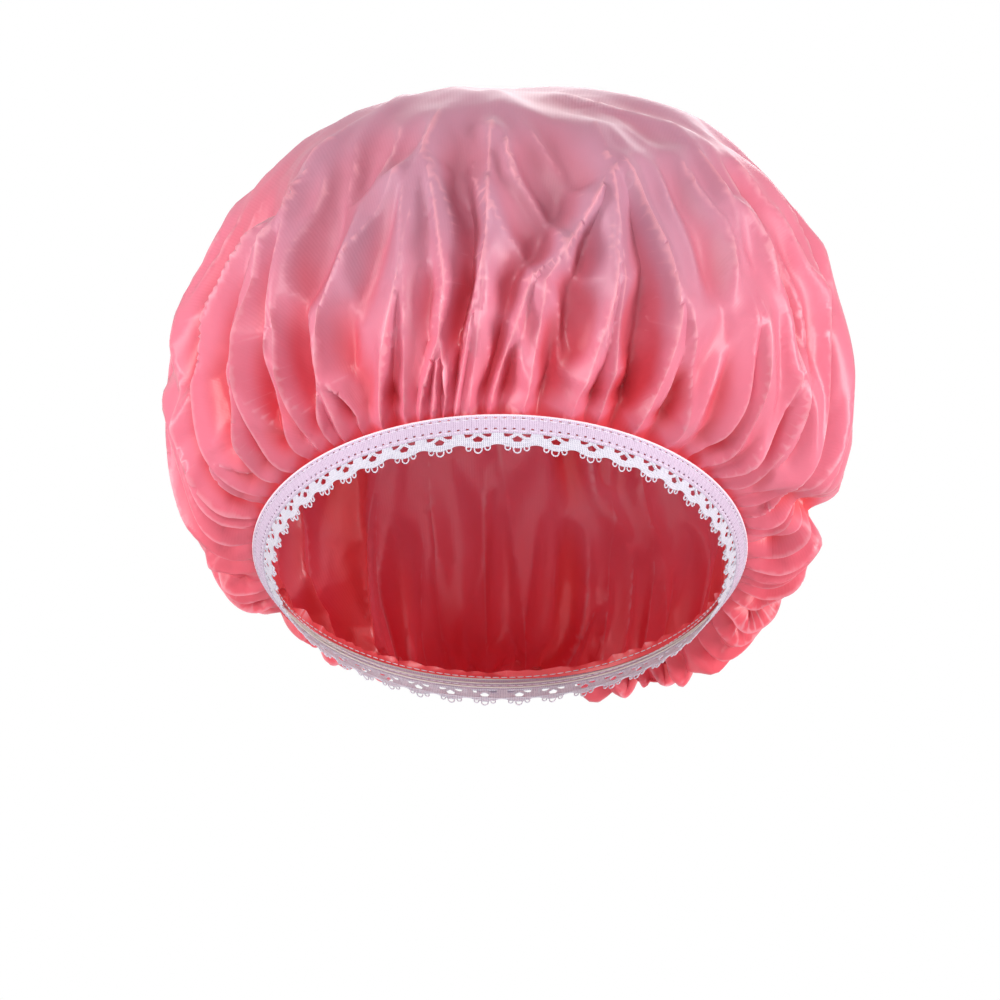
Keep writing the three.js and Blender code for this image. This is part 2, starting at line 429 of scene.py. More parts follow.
@dataclass(frozen=True)
class Opening:
    """The tilted oval that the trim follows, in metres and degrees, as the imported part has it."""

    width: float = 0.140
    length: float = 0.188
    tilt: float = 24.0
    lean_sides: float = 40.0
    lean_front: float = 12.0
    lean_back: float = 13.0
    table_points: int = 4096

    def _plane(self) -> tuple[Array, Array]:
        """Finds the oval's plane.

        Returns:
            Its upward normal and its backward direction.
        """
        tilt = math.radians(self.tilt)
        up = np.array([0.0, math.sin(tilt), math.cos(tilt)])
        back = np.array([0.0, math.cos(tilt), -math.sin(tilt)])
        return up, back

    def _table(self) -> tuple[Array, Array]:
        """Measures the way round the oval.

        Returns:
            Angles round it, and the length run up to each of them.
        """
        angle = np.linspace(0.0, 2 * math.pi, self.table_points)
        x, y = self.width / 2 * np.sin(angle), self.length / 2 * np.cos(angle)
        run = np.concatenate([[0.0], np.cumsum(np.hypot(np.diff(x), np.diff(y)))])
        return angle, run

    def round_length(self) -> float:
        """Returns the length once round the oval."""
        return float(self._table()[1][-1])

    def at(self, share: Array) -> OpeningFrames:
        """Finds places round the oval.

        Args:
            share: Shares of the way round, clockwise from the back.

        Returns:
            The places, one row for each share.
        """
        angle, run = self._table()
        a = np.interp(np.mod(share, 1.0) * run[-1], run, angle)
        up, back = self._plane()
        x, y = np.sin(a), np.cos(a)
        point = np.outer(x * self.width / 2, (1, 0, 0)) + np.outer(y * self.length / 2, back)
        dx, dy = self.width / 2 * y, -self.length / 2 * x
        size = np.hypot(dx, dy)
        inward = np.outer(dy / size, (1, 0, 0)) + np.outer(-dx / size, back)
        return OpeningFrames(x, y, point, inward)

    def round_blend(self, place: OpeningFrames, sides: float, front: float, back: float) -> Array:
        """Changes a size smoothly from the sides to the front and the back.

        Args:
            place: Places round the oval.
            sides: The size at the sides.
            front: The size at the front.
            back: The size at the back.

        Returns:
            The size at each place.
        """
        ends = np.where(place.back < 0, front, back)
        return sides + (ends - sides) * place.back**2

    def trim(self, share: Array, down: Array | float, out: Array | float) -> Array:
        """Finds points on the trim.

        Args:
            share: Shares of the way round.
            down: Distances down from the oval, along the tape's slope, or one for all.
            out: Distances out from the tape's middle, or one for all.

        Returns:
            The points, one row each.
        """
        share, down, out = np.broadcast_arrays(*(np.atleast_1d(v) for v in (share, down, out)))
        place = self.at(share)
        up = self._plane()[0]
        lean = np.radians(self.round_blend(place, self.lean_sides, self.lean_front, self.lean_back))
        sin, cos = np.sin(lean)[:, None], np.cos(lean)[:, None]
        downward = place.inward * sin - up * cos
        outward = -place.inward * cos - up * sin
        return place.point + downward * down[:, None] + outward * out[:, None]


@dataclass(frozen=True)
class Pleats:
    """The ridges of the film's pleats: many at the seam, which join on their way up into fewer folds.

    A part is of the way from the top, 0, to the seam, 1, and a share is of the way round.
    """

    front_folds: tuple[float, ...] = (
        0.290, 0.315, 0.345, 0.380, 0.415, 0.4525, 0.486, 0.511, 0.5345, 0.560, 0.589, 0.617, 0.643, 0.690,
    )
    back_folds: int = 18
    back_sway: float = 0.25
    sway_turn: float = 2.4
    folds_joined: tuple[int, int] = (1, 3)
    join_evenness: float = 0.6
    fold_join: Pair = (0.42, 0.76)
    fold_join_spread: float = 0.16
    ridges_in_fold: tuple[int, ...] = (1, 2, 1, 2, 2)
    ridge_join: Pair = (0.58, 0.82)
    ridge_sway: float = 0.2
    pleats_in_fold: int = 3
    pleat_join: Pair = (0.76, 0.90)
    pleat_sway: Pair = (0.8, 1.15)
    spread_by: float = 0.965
    spread_power: float = 0.75
    drop: float = 0.5
    close_gap: Pair = (-0.002, 0.0065)
    least_gap: float = 1e-7
    valley_place: Pair = (0.3, 0.7)
    valley_depth: Pair = (0.5, 1.5)
    valley_round: float = 0.10
    wander: float = 0.006
    wander_waves: tuple[int, int] = (2, 14)
    wander_slant: float = 1.6
    crumple_waves: int = 20
    crumple_slant: Pair = (0.3, 1.0)
    crumple_round: float = 0.15
    crumple_most: float = 2.0
    seed: int = 11

    def _opening(self, part: Array, start: float, end: float) -> Array:
        """Returns how far two ridges that part at start have spread, which is fully at end."""
        return np.clip((part - start) / (end - start), 0, 1) ** self.spread_power

    def _folds(self) -> Array:
        """Places the main folds at the seam.

        Returns:
            Their shares of the way round, in order.
        """
        step = np.arange(1, self.back_folds + 1)
        part_way = (step + self.back_sway * np.sin(self.sway_turn * step)) / (self.back_folds + 1)
        start, end = self.front_folds[-1], 1 + self.front_folds[0]
        return np.concatenate([self.front_folds, start + (end - start) * part_way])

    def _joined(self, folds: Array, random: np.random.Generator) -> Array:
        """Joins neighbouring main folds at the top.

        Args:
            folds: The main folds' shares at the seam.
            random: Picks which folds join, and where.

        Returns:
            The share at the top for each main fold.
        """
        joined = np.empty_like(folds)
        first = 0
        while first < len(folds):
            last = min(len(folds), first + random.integers(self.folds_joined[0], self.folds_joined[1] + 1))
            weights = random.dirichlet(np.full(last - first, self.join_evenness))
            joined[first:last] = folds[first:last] @ weights
            first = last
        return joined

    def _lines(self, part: Array) -> tuple[Array, Array, Array]:
        """Finds where the ridges run.

        Args:
            part: Parts of the way down, from 0 at the top to 1 at the seam.

        Returns:
            The ridges' shares of the way round at each part, in order, how far each of them lies below the
            rest, and where each valley lies between two ridges, with its share of the usual depth.
        """
        random = np.random.default_rng(self.seed)
        folds = self._folds()
        tops = self._joined(folds, random)
        before = (folds - np.roll(folds, 1)) % 1
        after = (np.roll(folds, -1) - folds) % 1
        shares, drops, valleys, deeps = [], [], [], []
        for k, fold in enumerate(folds):
            fold_start = random.uniform(self.fold_join[0], self.fold_join[0] + self.fold_join_spread)
            middle = tops[k] + (fold - tops[k]) * self._opening(part, fold_start, self.fold_join[1])
            count = int(random.choice(self.ridges_in_fold))
            cell = (before[k] + after[k]) / 2
            sway = random.uniform(-self.ridge_sway, self.ridge_sway, count)
            seats = -before[k] / 2 + (np.arange(count) + 0.5 + sway) / count * cell
            starts = random.uniform(*self.ridge_join, count)
            starts[np.argsort(np.abs(seats))] = np.sort(starts)[::-1]
            for seat, start in zip(seats, starts):
                spread = self._opening(part, start, self.spread_by)
                ridge = middle + seat * spread
                lower = random.uniform(0.0, self.drop) * abs(seat) * spread
                pleat_start = random.uniform(*self.pleat_join)
                pleats = self.pleats_in_fold // count
                for place in (np.arange(pleats) + 0.5) / pleats - 0.5:
                    offset = cell / count * place * random.uniform(*self.pleat_sway)
                    apart = self._opening(part, pleat_start, self.spread_by)
                    shares.append(ridge + offset * apart)
                    drops.append(lower + random.uniform(0.0, self.drop) * abs(offset) * apart)
                    valleys.append(random.uniform(*self.valley_place))
                    deeps.append(random.uniform(*self.valley_depth))
        lines, drops = np.stack(shares, 1), np.stack(drops, 1)
        order = np.argsort(lines, axis=1)
        lines, drops = (np.take_along_axis(values, order, 1) for values in (lines, drops))
        return lines, drops, np.array([valleys, deeps])

    def _wandered(self, share: Array, part: Array) -> Array:
        """Lets shares of the way round wander a little on their way down.

        Args:
            share: Shares of the way round.
            part: Parts of the way down.

        Returns:
            The shares that have wandered.
        """
        random = np.random.default_rng(self.seed + 1)
        warp = np.zeros_like(share)
        slant = self.wander_slant
        for k in range(*self.wander_waves):
            turn = 2 * math.pi * (k * share + random.random() + random.uniform(-slant, slant) * part)
            warp += np.sin(turn) * random.normal() / math.sqrt(k)
        return share + self.wander * warp

    def nearest_crease(self, share: Array, part: Array) -> Array:
        """Finds the ridge or the valley that is nearest to each place.

        Args:
            share: Shares of the way round.
            part: Parts of the way down.

        Returns:
            The share at which the crease passes the same part.
        """
        ridges, _, valleys = self._lines(part)
        after = np.concatenate([ridges[:, 1:], ridges[:, :1] + 1], 1)
        creases = np.concatenate([ridges, ridges + (after - ridges) * valleys[0]], 1)
        away = np.mod(creases - self._wandered(share, part)[:, None] + 0.5, 1.0) - 0.5
        nearest = np.argmin(np.abs(away), axis=1)
        rows = np.arange(len(share))
        crease = creases[rows, nearest]
        found = share + away[rows, nearest]
        for _ in range(2):
            found = found + np.mod(crease - self._wandered(found, part) + 0.5, 1.0) - 0.5
        return found

    def height(self, share: Array, part: Array) -> Array:
        """Finds how deep below the ridges a place lies, for a slope of 1 and a round length of 1.

        Args:
            share: Shares of the way round.
            part: Parts of the way down.

        Returns:
            0 on the ridges, and less in the valleys.
        """
        lines, drops, valleys = self._lines(part)
        place = lines[:, 0] + np.mod(self._wandered(share, part) - lines[:, 0], 1.0)
        after = np.sum(lines <= place[:, None], axis=1)
        count = lines.shape[1]
        rows = np.arange(len(share))
        left = lines[rows, after - 1]
        right = np.where(after < count, lines[rows, after % count], lines[:, 0] + 1)
        gap = np.maximum(right - left, self.least_gap)
        steep = smooth_step(*self.close_gap, gap)
        run = np.clip((place - left) / gap, 0, 1)
        valley, deep = valleys[:, after - 1]
        fall, climb = run / valley, (1 - run) / (1 - valley)
        soft = self.valley_round
        depth = -soft * np.log(np.exp(-fall / soft) + np.exp(-climb / soft))
        lower = drops[rows, after - 1] * (1 - run) + drops[rows, after % count] * run
        return -0.5 * gap * steep * np.maximum(depth, 0) * deep - lower

    def crumples(
        self, share: Array, part: Array, around: tuple[int, int], along: float,
    ) -> Array:
        """Finds the sharp, wandering creases that cross the pleats.

        Args:
            share: Shares of the way round.
            part: Parts of the way down.
            around: The fewest and the most waves once round.
            along: The most waves from the top to the seam.

        Returns:
            0 on the creases, and less between them, to about -2.
        """
        random = np.random.default_rng(self.seed + around[0])
        field = np.zeros_like(share)
        for _ in range(self.crumple_waves):
            waves = int(random.integers(*around)) * random.choice((-1, 1))
            turn = waves * share + random.uniform(*self.crumple_slant) * along * part + random.random()
            field += np.sin(2 * math.pi * turn)
        rounded = np.sqrt(field**2 * 2 / self.crumple_waves + self.crumple_round**2) - self.crumple_round
        return -np.minimum(rounded, self.crumple_most)


@dataclass(frozen=True)
class Settling:
    """How the gathered film settles as cloth.

    Attributes:
        frames: How long it settles.
        slack: How much longer than its place the film is where it is loosest.
        taut: How much shorter it is where it is tightest.
        seed: Picks the run of loose and tight places.
        waves: How many waves make up that run.
        wave_spread: How close the waves are, in radians a metre.
        tight_from: The waves' sums at which the film is loosest and tightest.
        levels: How many grades of tightness there are.
        gravity: The share of the usual weight that acts.
        most_moved: How far a point may move.
        free: The share of a point's room that it may stand out by.
        drawn_back: The share of what stands out further that is drawn back.
    """

    frames: int = 26
    slack: float = 0.010
    taut: float = 0.005
    seed: int = 5
    waves: int = 24
    wave_spread: float = 68.0
    tight_from: Pair = (-4.0, 5.0)
    levels: int = 20
    gravity: float = 0.02
    most_moved: float = 0.010
    free: float = 0.3
    drawn_back: float = 0.75


@dataclass
class Film:
    """The film disc, gathered round the opening and puffed out over it.

    Lengths are in metres. Round sizes are at the sides, in front and behind.
    """

    opening: Opening
    pleats: Pleats = Pleats()
    settling: Settling = Settling()
    flat_radius: float = 0.212
    top_offset: float = 0.045
    coarse: float = 0.0034
    fine: float = 0.00172
    finer: Pair = (0.25, 0.65)
    ring_height: float = 0.88
    fewest_points: int = 6
    draw_within: float = 0.49
    crowded_within: float = 0.4
    hem_out: float = -0.0012
    hem_down: float = 0.0040
    hem_flat: float = 0.0014
    seam_rise: float = 0.0008
    seam_within: float = 1e-4
    seam_relief: float = 0.20
    seam_height: float = 0.008
    front_relief: float = 0.35
    front_from: Pair = (-0.02, 0.04)
    creased_from: float = 0.30
    relief: float = 0.72
    pleats_grow: Pair = (0.20, 0.62)
    slope_squared: Pair = (0.02, 7.0)
    crumple_depth: float = 0.0022
    crumple_middle: float = 0.7
    crumple_waves: tuple[int, int] = (10, 34)
    crumple_turns: float = 4.5
    crumples_grow: Pair = (0.30, 0.55)
    crown_depth: float = 0.0014
    crown_waves: tuple[int, int] = (3, 9)
    crown_turns: float = 3.0
    crown_grow: Pair = (0.1, 0.3)
    crown_height: float = 0.06
    smooth_height: float = 0.020
    room_top: float = 0.0015
    room_folds: float = 0.0065
    room_folds_grow: Pair = (0.15, 0.6)
    room_seam: float = 0.004
    room_seam_grow: Pair = (0.85, 1.0)
    puff_out: RoundSizes = (0.040, 0.017, 0.040)
    puff_up: RoundSizes = (-0.014, 0.020, -0.025)
    shoulder_out: RoundSizes = (0.119, 0.097, 0.130)
    shoulder_up: RoundSizes = (0.006, 0.003, 0.006)
    top: Point = (0.0038, -0.005, 0.1345)
    right_sag: float = 0.045
    right_draw: float = 0.25
    left_sag: float = 0.018
    tuck_depth: float = 0.009
    tuck_level: float = 0.0135
    tuck_height: float = 0.005
    tuck_share: float = 0.24
    tuck_width: float = 0.07
    thickness: float = 0.0003
    crease_angle: float = 60.0

    def smooth(self, share: Array, rise: Array) -> Array:
        """Finds points on the film's smooth shape, before any pleats.

        Args:
            share: Shares of the way round the opening.
            rise: From 0 at the tape's upper edge to 1 at the top.

        Returns:
            The points, one row each.
        """
        place = self.opening.at(share)
        outward = unit(np.stack([place.across, place.back, np.zeros_like(share)], 1))
        behind = 2 * np.clip(place.back, 0, None)
        right_sag = self.right_sag * behind * np.clip(place.across, 0, None)
        sag = right_sag + self.left_sag * behind * np.clip(-place.across, 0, None)
        sizes = [
            self.opening.round_blend(place, *size)[:, None]
            for size in (self.puff_out, self.puff_up, self.shoulder_out, self.shoulder_up)
        ]
        up, top = np.array([0.0, 0.0, 1.0]), np.array(self.top)
        start = self.opening.trim(share, -self.seam_rise, self.hem_out)
        drawn = right_sag * self.right_draw
        puff = start + outward * (sizes[0] - drawn[:, None]) + up * (sizes[1] - sag[:, None])
        puff += np.array([self.top[0], 0, 0])
        shoulder = top + outward * sizes[2] + up * sizes[3]
        t = np.asarray(rise)[:, None]
        return (
            (1 - t) ** 3 * start + 3 * t * (1 - t) ** 2 * puff + 3 * t * t * (1 - t) * shoulder + t**3 * top
        )

    def _spread(self, flat: Array) -> tuple[Array, Array, Array, Array]:
        """Finds where points of the cut disc go.

        Args:
            flat: The disc's points before it is gathered.

        Returns:
            The points' shares of the way round, their distances from the place that becomes the top, the
            distance of the edge beyond them, and how squarely the edge lies across the way to it.
        """
        centre = np.array([0.0, -self.top_offset])
        ray = flat - centre
        reach = np.linalg.norm(ray, axis=1)
        ray = np.where(reach[:, None] > 1e-9, ray / np.maximum(reach, 1e-9)[:, None], (0.0, 1.0))
        lead = ray @ centre
        to_rim = -lead + np.sqrt(lead**2 - centre @ centre + self.flat_radius**2)
        rim = centre + ray * to_rim[:, None]
        share = np.arctan2(rim[:, 0], rim[:, 1]) / (2 * math.pi)
        return share, reach, to_rim, np.abs(np.sum(ray * rim, axis=1)) / self.flat_radius

    def _seam(self, to_rim: Array) -> Array:
        """Returns the distance from the top's place to the seam, given the distance to the edge."""
        return to_rim - self.hem_down - self.seam_rise

    def _on_creases(self, flat: Array, spacing: float) -> Array:
        """Draws the points of one ring onto the ridges and valleys that pass close by.

        Args:
            flat: The ring's points.
            spacing: From one point to the next.

        Returns:
            The points, with one on each crease that isn't too close to the last.
        """
        share, reach, to_rim, square = self._spread(flat)
        part = np.clip(reach / self._seam(to_rim), 0, 1)
        crease = self.pleats.nearest_crease(share, part)
        around = 2 * math.pi * self.flat_radius * reach / to_rim * square
        near = (np.abs(crease - share) * around < self.draw_within * spacing) & (part > self.creased_from)
        turn = 2 * math.pi * crease
        centre = np.array([0.0, -self.top_offset])
        rim = self.flat_radius * np.stack([np.sin(turn), np.cos(turn)], 1)
        drawn = np.where(near[:, None], centre + (rim - centre) * (reach / to_rim)[:, None], flat)
        apart = np.linalg.norm(drawn - np.roll(drawn, 1, axis=0), axis=1)
        return np.where((apart < self.crowded_within * spacing)[:, None], flat, drawn)

    def flat_disc(self) -> tuple[Array, Array]:
        """Lays out the cut disc in rings of nearly even triangles, finer to the edge.

        Returns:
            The points (x to the right, y to the back) and the triangles, facing up.
        """
        radii = [0.0]
        finer_from, finer_to = self.finer
        while radii[-1] < self.flat_radius:
            part = min(1.0, max(0.0, (radii[-1] / self.flat_radius - finer_from) / (finer_to - finer_from)))
            radii.append(radii[-1] + self.ring_height * (self.coarse + (self.fine - self.coarse) * part))
        rings = np.array(radii) * self.flat_radius / radii[-1]
        points, faces = [np.zeros((1, 2))], []
        first, inner = 0, np.array([0.0, 2 * math.pi])
        for gap, radius in zip(np.diff(rings), rings[1:]):
            count = max(self.fewest_points, round(2 * math.pi * radius * self.ring_height / gap))
            even = 2 * math.pi * np.arange(count) / count
            ring = radius * np.stack([np.sin(even), np.cos(even)], 1)
            ring = self._on_creases(ring, 2 * math.pi * radius / count)
            turned = np.arctan2(ring[:, 0], ring[:, 1]) - even
            angle = even + np.mod(turned + math.pi, 2 * math.pi) - math.pi
            outer = np.append(angle, angle[0] + 2 * math.pi)
            start = first + len(inner) - 1
            faces += self._between(inner, outer, first, start)
            points.append(ring)
            first, inner = start, outer
        return np.concatenate(points), np.array(faces)

    @staticmethod
    def _between(inner: Array, outer: Array, first: int, start: int) -> list[tuple[int, int, int]]:
        """Fills the space between two rings with triangles.

        Args:
            inner: The inner ring's angles, with its first point again at the end.
            outer: The outer ring's angles, in the same way.
            first: The number of the inner ring's first point.
            start: The number of the outer ring's first point.

        Returns:
            The triangles, facing up.
        """
        inside, outside = len(inner) - 1, len(outer) - 1
        faces = []
        i = j = 0
        while j < outside or (i < inside and inside > 1):
            near, edge = first + i % inside, start + j % outside
            if inside == 1 or i == inside or (j < outside and outer[j + 1] <= inner[i + 1]):
                faces.append((near, start + (j + 1) % outside, edge))
                j += 1
            else:
                faces.append((near, first + (i + 1) % inside, edge))
                i += 1
        return faces

    def _rise_table(self, shares: int = 360, stops: int = 65) -> Array:
        """Works out the rise at even shares of each meridian's length.

        Args:
            shares: How many meridians there are.
            stops: How many places there are on each.

        Returns:
            The rises, one row for each meridian, from the top down.
        """
        rise = np.linspace(1.0, 0.0, stops)
        table = np.empty((shares, stops))
        for i in range(shares):
            line = self.smooth(np.full(stops, i / shares), rise)
            run = np.concatenate([[0.0], np.cumsum(np.linalg.norm(np.diff(line, axis=0), axis=1))])
            table[i] = np.interp(np.linspace(0, run[-1], stops), run, rise)
        return table

    @staticmethod
    def _look_up(table: Array, share: Array, part: Array) -> Array:
        """Reads a table that closes on itself in share, smoothly in both directions.

        Args:
            table: The table, one row for each share.
            share: Shares of the way round.
            part: Parts of the way along a row.

        Returns:
            The values read.
        """
        rows, columns = table.shape
        i = np.mod(share, 1.0) * rows
        j = np.clip(part, 0, 1) * (columns - 1)
        i0, j0 = np.floor(i).astype(int), np.minimum(np.floor(j).astype(int), columns - 2)
        fi, fj = i - i0, j - j0
        i0, i1 = i0 % rows, (i0 + 1) % rows
        near = table[i0, j0] * (1 - fj) + table[i0, j0 + 1] * fj
        far = table[i1, j0] * (1 - fj) + table[i1, j0 + 1] * fj
        return near * (1 - fi) + far * fi

    def _outward(self, share: Array, rise: Array) -> tuple[Array, Array]:
        """Finds which way the smooth shape faces, and how wide it is.

        Args:
            share: Shares of the way round the opening.
            rise: From 0 at the tape's upper edge to 1 at the top.

        Returns:
            Unit vectors out from the shape, and the shape's length once round at each place.
        """
        step = 1e-3
        round_way = (self.smooth(share + step, rise) - self.smooth(share - step, rise)) / (2 * step)
        higher, lower = np.minimum(rise + step, 1), np.maximum(rise - step, 0)
        up_way = unit(self.smooth(share, higher) - self.smooth(share, lower))
        round_way -= up_way * np.sum(round_way * up_way, axis=1)[:, None]
        return unit(np.cross(up_way, round_way)), np.linalg.norm(round_way, axis=1)

    def gathered(self, flat: Array) -> "GatheredFilm":
        """Gathers the cut disc round the opening, with pleats that take up its spare width.

        Args:
            flat: The disc's points before it was gathered.

        Returns:
            The gathered film.
        """
        share, reach, to_rim, square = self._spread(flat)
        hem_start = self._seam(to_rim)
        part = np.clip(reach / hem_start, 0, 1)

        rise = self._look_up(self._rise_table(), share, part)
        dome = self.smooth(share, rise)
        outward, width = self._outward(share, rise)

        flat_width = 2 * math.pi * self.flat_radius * (reach / to_rim) * square
        slope = np.sqrt(np.clip((flat_width / np.maximum(width, 1e-6)) ** 2 - 1, *self.slope_squared))
        above = hem_start - reach
        clear = smooth_step(0, self.smooth_height, above)
        pressed = self.seam_relief + self.front_relief * smooth_step(*self.front_from, -dome[:, 1])
        settle_in = pressed + (1 - pressed) * smooth_step(0, self.seam_height, above)
        offset = self.pleats.height(share, part) * slope * width * settle_in * self.relief
        offset *= smooth_step(*self.pleats_grow, part)
        settled = smooth_step(*self.crumples_grow, part) * clear
        crossing = self.pleats.crumples(share, part, self.crumple_waves, self.crumple_turns)
        offset += self.crumple_depth * settled * (crossing + self.crumple_middle)
        broad = self.pleats.crumples(share, part, self.crown_waves, self.crown_turns) + self.crumple_middle
        broad = self.crown_depth * broad * smooth_step(*self.crown_grow, part) * (1 - settled)
        offset += broad * smooth_step(0, self.crown_height, above)
        tuck = ((dome[:, 2] - self.tuck_level) / self.tuck_height) ** 2
        tuck += ((np.mod(share, 1) - self.tuck_share) / self.tuck_width) ** 2
        offset -= self.tuck_depth * np.exp(-tuck) * clear
        point = dome + outward * offset[:, None]

        past = above < 0
        down = -above[past] - self.seam_rise
        out = self.hem_out + offset[past] * np.clip(1 + above[past] / self.hem_flat, 0, 1)
        point[past] = self.opening.trim(share[past], down, out)
        room = self.room_top + self.room_folds * smooth_step(*self.room_folds_grow, part)
        room -= self.room_seam * smooth_step(*self.room_seam_grow, part)
        return GatheredFilm(flat, point, dome, outward, room, above < self.seam_within)

    def build(self) -> Piece:
        """Builds the film.

        Returns:
            The film.
        """
        flat, faces = self.flat_disc()
        gathered = self.gathered(flat)
        mesh = bpy.data.meshes.new("cap_film_sheet")
        mesh.from_pydata(gathered.point.tolist(), [], faces.tolist())
        film = add_object("cap_film_sheet", mesh)
        add_map(film, "cut", flat)
        gathered.settle(film, self.settling)
        gathered.even(film)
        # The fold map carries the masks for the painted shade in the folds and the painted highlights on the
        # ridges.
        add_map(film, "fold", gathered.folds(film))
        thicken(film, self.thickness, 0.0)
        make_active(film)
        bpy.ops.object.shade_smooth_by_angle(angle=math.radians(self.crease_angle))
        return film

    def dress(self, film: Piece, finish: "FilmFinish") -> None:
        """Gives the film its finish, hides the imported cap_film part and bakes the film's placement.

        Args:
            film: The film.
            finish: Its finish.
        """
        film.data.materials.append(finish.material())
        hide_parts("cap_film")
        stretches(film)


@dataclass(frozen=True)
class GatheredFilm:
    """The film's points once it is gathered, and what they are held by.

    Attributes:
        flat: The points before the disc was gathered.
        point: The points in space.
        dome: The points on the smooth shape below the pleats.
        outward: Unit vectors out from the smooth shape.
        room: How far a point may lie from the smooth shape.
        held: Whether the seam holds a point.
        ridge_bend: How far a point on a full ridge lies above its neighbours.
        fold_depth: How deep a full valley is.
    """

    flat: Array
    point: Array
    dome: Array
    outward: Array
    room: Array
    held: Array
    ridge_bend: float = 0.0007
    fold_depth: float = 0.0075

    def _hold_seam(self, film: Piece) -> None:
        """Puts the points that the seam holds into a group."""
        film.vertex_groups.new(name="seam").add(np.flatnonzero(self.held).tolist(), 1.0, "REPLACE")

    def _off(self, point: Array) -> Array:
        """Returns how far out from the smooth shape points lie."""
        return np.sum((point - self.dome) * self.outward, axis=1)

    def _tightness(self, how: Settling) -> Array:
        """Spreads loose and tight places over the film.

        Args:
            how: How the film settles.

        Returns:
            How tight the film is at each point, from 0 to 1.
        """
        random = np.random.default_rng(how.seed)
        tight = np.zeros(len(self.flat))
        for _ in range(how.waves):
            way = random.normal(size=3) * how.wave_spread
            tight += np.sin(self.dome @ way + random.uniform(0, 2 * math.pi))
        return smooth_step(*how.tight_from, tight)

    def settle(self, film: Piece, how: Settling) -> None:
        """Lets the gathered film find its folds as cloth that is held at its seam, and keeps the result.

        Args:
            film: The gathered film.
            how: How it settles.
        """
        self._hold_seam(film)
        grades = np.rint(self._tightness(how) * how.levels)
        tightness = film.vertex_groups.new(name="tightness")
        for level in range(1, how.levels + 1):
            tightness.add(np.flatnonzero(grades == level).tolist(), level / how.levels, "REPLACE")
        cloth = film.modifiers.new("settle", "CLOTH")
        settings = cloth.settings
        settings.vertex_group_shrink = "tightness"
        settings.shrink_min, settings.shrink_max = -how.slack, how.taut
        settings.vertex_group_mass = "seam"
        for key, setting in FILM_CLOTH.items():
            setattr(settings, key, setting)
        settings.effector_weights.gravity = how.gravity
        cloth.collision_settings.use_collision = False
        cloth.collision_settings.use_self_collision = False
        cloth.point_cache.frame_start = 1
        cloth.point_cache.frame_end = how.frames
        scene = bpy.context.scene
        scene.frame_start, scene.frame_end = 1, how.frames
        for number in range(1, how.frames + 1):
            scene.frame_set(number)
        apply_modifier(film, cloth)
        scene.frame_set(1)
        film.vertex_groups.clear()
        moved = coordinates(film) - self.point
        far = np.linalg.norm(moved, axis=1)
        point = self.point + moved * np.minimum(1, how.most_moved / np.maximum(far, 1e-9))[:, None]
        over = np.maximum(self._off(point) - how.free * self.room, 0)
        place_points(film, point - self.outward * (how.drawn_back * over)[:, None])
        log.info("the film settled by up to %.1f mm", TO_MILLIMETRES * far.max())

    def even(self, film: Piece) -> None:
        """Evens out the small beads on the film's ridges, and leaves its seam as it is.

        Args:
            film: The film as it lies.
        """
        self._hold_seam(film)
        soft = film.modifiers.new("even", "SMOOTH")
        soft.factor, soft.iterations = 0.25, 1
        soft.vertex_group, soft.invert_vertex_group = "seam", True
        apply_modifier(film, soft)
        film.vertex_groups.clear()

    def folds(self, film: Piece) -> Array:
        """Measures the film's folds, as masks for the painted shade in them and the painted highlights on
        their ridges.

        Args:
            film: The film as it lies.

        Returns:
            For each point, how deep it lies in a fold, from 0 to 1, and whether it is on a ridge, from 0 in
            the bottom of a valley over 0.5 on a flat stretch to 1.
        """
        off = self._off(coordinates(film))
        ends = np.empty(2 * len(film.data.edges), int)
        film.data.edges.foreach_get("vertices", ends)
        one, other = ends.reshape(-1, 2).T
        count = np.bincount(ends, minlength=len(off))
        bend = np.zeros(len(off))
        np.add.at(bend, one, off[one] - off[other])
        np.add.at(bend, other, off[other] - off[one])
        ridge = np.clip(0.5 + 0.5 * bend / np.maximum(count, 1) / self.ridge_bend, 0, 1)
        # The hem that the seam holds counts as deepest in a fold, so painted shade falls on it behind the
        # tape.
        deep = np.where(self.held, 1, np.clip(-off / self.fold_depth, 0, 1))
        return np.stack([deep, ridge], 1)


@dataclass
class TrimPiece:
    """A piece of the elastic lace trim, modelled flat and then laid round the opening.

    Flat, x runs to the right from the middle of the front, y up from the tape's upper edge and z outwards.
    """

    opening: Opening

    def lay_round(self, piece: Piece, closed: bool = True) -> None:
        """Lays a flat piece round the opening.

        Args:
            piece: The flat piece; it keeps its flat places in the UV map "knit".
            closed: Whether its two ends meet.
        """
        flat = coordinates(piece)
        add_map(piece, "knit", flat[:, :2])
        share = 0.5 - flat[:, 0] / self.opening.round_length()
        place_points(piece, self.opening.trim(share, -flat[:, 1], flat[:, 2]))
        if closed:
            merge_doubles(piece)
        make_active(piece)
        bpy.ops.object.shade_smooth_by_angle(angle=TRIM_CREASE)

    def stitch(self, radius: float, length: float, slant: float, place: Point) -> Piece:
        """Makes one stitch of a flat piece.

        Args:
            radius: Half its thickness.
            length: From end to end.
            slant: Its turn away from the trim's run, in radians.
            place: Its middle.

        Returns:
            The stitch.
        """
        bpy.ops.object.select_all(action="DESELECT")
        bpy.ops.mesh.primitive_uv_sphere_add(
            segments=8, ring_count=6, radius=1, rotation=(0, math.pi / 2, slant), location=place,
        )
        made = bpy.context.object
        made.scale = (radius, radius, length / 2)
        bpy.ops.object.transform_apply()
        return made

    def name(self, piece: Piece, name: str) -> Piece:
        """Names a piece and its mesh.

        Args:
            piece: The piece.
            name: Its name.

        Returns:
            The piece.
        """
        piece.name = name
        piece.data.name = name
        return piece


